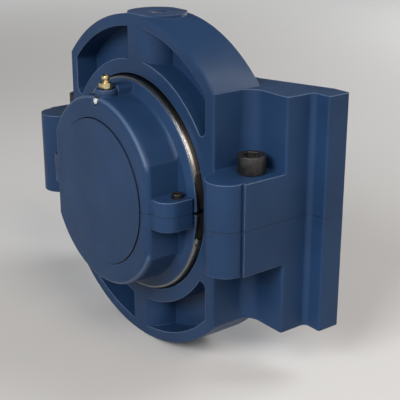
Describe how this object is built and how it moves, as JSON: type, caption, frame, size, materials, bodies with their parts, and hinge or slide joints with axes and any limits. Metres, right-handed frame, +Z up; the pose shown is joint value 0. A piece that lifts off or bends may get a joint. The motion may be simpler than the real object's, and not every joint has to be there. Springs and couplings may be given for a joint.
{
  "type": "split roller bearing",
  "caption": "Split roller bearing: a two-part swivelling cartridge with a closed front end and a grease nipple, in a split cast housing with side guide lips.",
  "frame": {"origin": "centre of the spherical seat, on the bearing axis and on the joint of the halves", "axes": "+Y along the bearing axis from the closed front end to the open rear end, +X towards the right lug seen from the front, +Z up"},
  "size_m": [0.35, 0.137, 0.311],
  "materials": {
    "blue_paint": "satin paint on cast iron",
    "bright_steel": "ground bearing steel",
    "black_steel": "black oxide",
    "brass": "turned, slightly dull",
    "felt": "oiled wool felt"
  },
  "bodies": {
    "housing": {"housing_cap": "blue_paint", "housing_base": "blue_paint", "housing_screws": "black_steel", "housing_dowels": "bright_steel"},
    "cartridge": {"cartridge_top": "blue_paint", "cartridge_bottom": "blue_paint", "cartridge_screws": "black_steel", "cartridge_dowels": "bright_steel", "end_disc": "blue_paint", "gallery_plug": "bright_steel", "grease_nipple": "brass", "outer_ring_top": "bright_steel", "outer_ring_bottom": "bright_steel", "rear_seal_top": "bright_steel", "rear_seal_bottom": "bright_steel", "seal_felts": "felt"},
    "inner_ring": {"inner_ring_top": "bright_steel", "inner_ring_bottom": "bright_steel", "front_clamp_top": "bright_steel", "front_clamp_bottom": "bright_steel", "rear_clamp_top": "bright_steel", "rear_clamp_bottom": "bright_steel", "clamp_screws": "black_steel"},
    "cage": {"cage_top": "brass", "cage_bottom": "brass", "cage_clips": "bright_steel"},
    "roller_01": {"roller_01": "bright_steel"},
    "roller_02": {"roller_02": "bright_steel"},
    "roller_03": {"roller_03": "bright_steel"},
    "roller_04": {"roller_04": "bright_steel"},
    "roller_05": {"roller_05": "bright_steel"},
    "roller_06": {"roller_06": "bright_steel"},
    "roller_07": {"roller_07": "bright_steel"},
    "roller_08": {"roller_08": "bright_steel"},
    "roller_09": {"roller_09": "bright_steel"},
    "roller_10": {"roller_10": "bright_steel"},
    "roller_11": {"roller_11": "bright_steel"},
    "roller_12": {"roller_12": "bright_steel"},
    "roller_13": {"roller_13": "bright_steel"},
    "roller_14": {"roller_14": "bright_steel"},
    "roller_15": {"roller_15": "bright_steel"},
    "roller_16": {"roller_16": "bright_steel"}
  },
  "joints": [
    {"name": "seat_swivel", "type": "hinge", "parent": "housing", "child": "cartridge", "pos_m": [0, 0, 0], "axis": [1, 0, 0], "range_deg": [-2.5, 2.5]},
    {"name": "shaft_spin", "type": "hinge", "parent": "cartridge", "child": "inner_ring", "pos_m": [0, 0, 0], "axis": [0, 1, 0], "continuous": true},
    {"name": "cage_orbit", "type": "hinge", "parent": "cartridge", "child": "cage", "pos_m": [0, 0, 0], "axis": [0, 1, 0], "continuous": true},
    {"name": "roller_01_spin", "type": "hinge", "parent": "cage", "child": "roller_01", "pos_m": [0.06672, 0, 0.01327], "axis": [0, 1, 0], "continuous": true},
    {"name": "roller_02_spin", "type": "hinge", "parent": "cage", "child": "roller_02", "pos_m": [0.05656, 0, 0.0378], "axis": [0, 1, 0], "continuous": true},
    {"name": "roller_03_spin", "type": "hinge", "parent": "cage", "child": "roller_03", "pos_m": [0.0378, 0, 0.05656], "axis": [0, 1, 0], "continuous": true},
    {"name": "roller_04_spin", "type": "hinge", "parent": "cage", "child": "roller_04", "pos_m": [0.01327, 0, 0.06672], "axis": [0, 1, 0], "continuous": true},
    {"name": "roller_05_spin", "type": "hinge", "parent": "cage", "child": "roller_05", "pos_m": [-0.01327, 0, 0.06672], "axis": [0, 1, 0], "continuous": true},
    {"name": "roller_06_spin", "type": "hinge", "parent": "cage", "child": "roller_06", "pos_m": [-0.0378, 0, 0.05656], "axis": [0, 1, 0], "continuous": true},
    {"name": "roller_07_spin", "type": "hinge", "parent": "cage", "child": "roller_07", "pos_m": [-0.05656, 0, 0.0378], "axis": [0, 1, 0], "continuous": true},
    {"name": "roller_08_spin", "type": "hinge", "parent": "cage", "child": "roller_08", "pos_m": [-0.06672, 0, 0.01327], "axis": [0, 1, 0], "continuous": true},
    {"name": "roller_09_spin", "type": "hinge", "parent": "cage", "child": "roller_09", "pos_m": [-0.06672, 0, -0.01327], "axis": [0, 1, 0], "continuous": true},
    {"name": "roller_10_spin", "type": "hinge", "parent": "cage", "child": "roller_10", "pos_m": [-0.05656, 0, -0.0378], "axis": [0, 1, 0], "continuous": true},
    {"name": "roller_11_spin", "type": "hinge", "parent": "cage", "child": "roller_11", "pos_m": [-0.0378, 0, -0.05656], "axis": [0, 1, 0], "continuous": true},
    {"name": "roller_12_spin", "type": "hinge", "parent": "cage", "child": "roller_12", "pos_m": [-0.01327, 0, -0.06672], "axis": [0, 1, 0], "continuous": true},
    {"name": "roller_13_spin", "type": "hinge", "parent": "cage", "child": "roller_13", "pos_m": [0.01327, 0, -0.06672], "axis": [0, 1, 0], "continuous": true},
    {"name": "roller_14_spin", "type": "hinge", "parent": "cage", "child": "roller_14", "pos_m": [0.0378, 0, -0.05656], "axis": [0, 1, 0], "continuous": true},
    {"name": "roller_15_spin", "type": "hinge", "parent": "cage", "child": "roller_15", "pos_m": [0.05656, 0, -0.0378], "axis": [0, 1, 0], "continuous": true},
    {"name": "roller_16_spin", "type": "hinge", "parent": "cage", "child": "roller_16", "pos_m": [0.06672, 0, -0.01327], "axis": [0, 1, 0], "continuous": true}
  ],
  "couplings": [
    {"joint": "cage_orbit", "follows": "shaft_spin", "ratio": 0.44098},
    {"joint": "roller_01_spin", "follows": "shaft_spin", "ratio": -4.1926},
    {"joint": "roller_02_spin", "follows": "shaft_spin", "ratio": -4.1926},
    {"joint": "roller_03_spin", "follows": "shaft_spin", "ratio": -4.1926},
    {"joint": "roller_04_spin", "follows": "shaft_spin", "ratio": -4.1926},
    {"joint": "roller_05_spin", "follows": "shaft_spin", "ratio": -4.1926},
    {"joint": "roller_06_spin", "follows": "shaft_spin", "ratio": -4.1926},
    {"joint": "roller_07_spin", "follows": "shaft_spin", "ratio": -4.1926},
    {"joint": "roller_08_spin", "follows": "shaft_spin", "ratio": -4.1926},
    {"joint": "roller_09_spin", "follows": "shaft_spin", "ratio": -4.1926},
    {"joint": "roller_10_spin", "follows": "shaft_spin", "ratio": -4.1926},
    {"joint": "roller_11_spin", "follows": "shaft_spin", "ratio": -4.1926},
    {"joint": "roller_12_spin", "follows": "shaft_spin", "ratio": -4.1926},
    {"joint": "roller_13_spin", "follows": "shaft_spin", "ratio": -4.1926},
    {"joint": "roller_14_spin", "follows": "shaft_spin", "ratio": -4.1926},
    {"joint": "roller_15_spin", "follows": "shaft_spin", "ratio": -4.1926},
    {"joint": "roller_16_spin", "follows": "shaft_spin", "ratio": -4.1926}
  ]
}
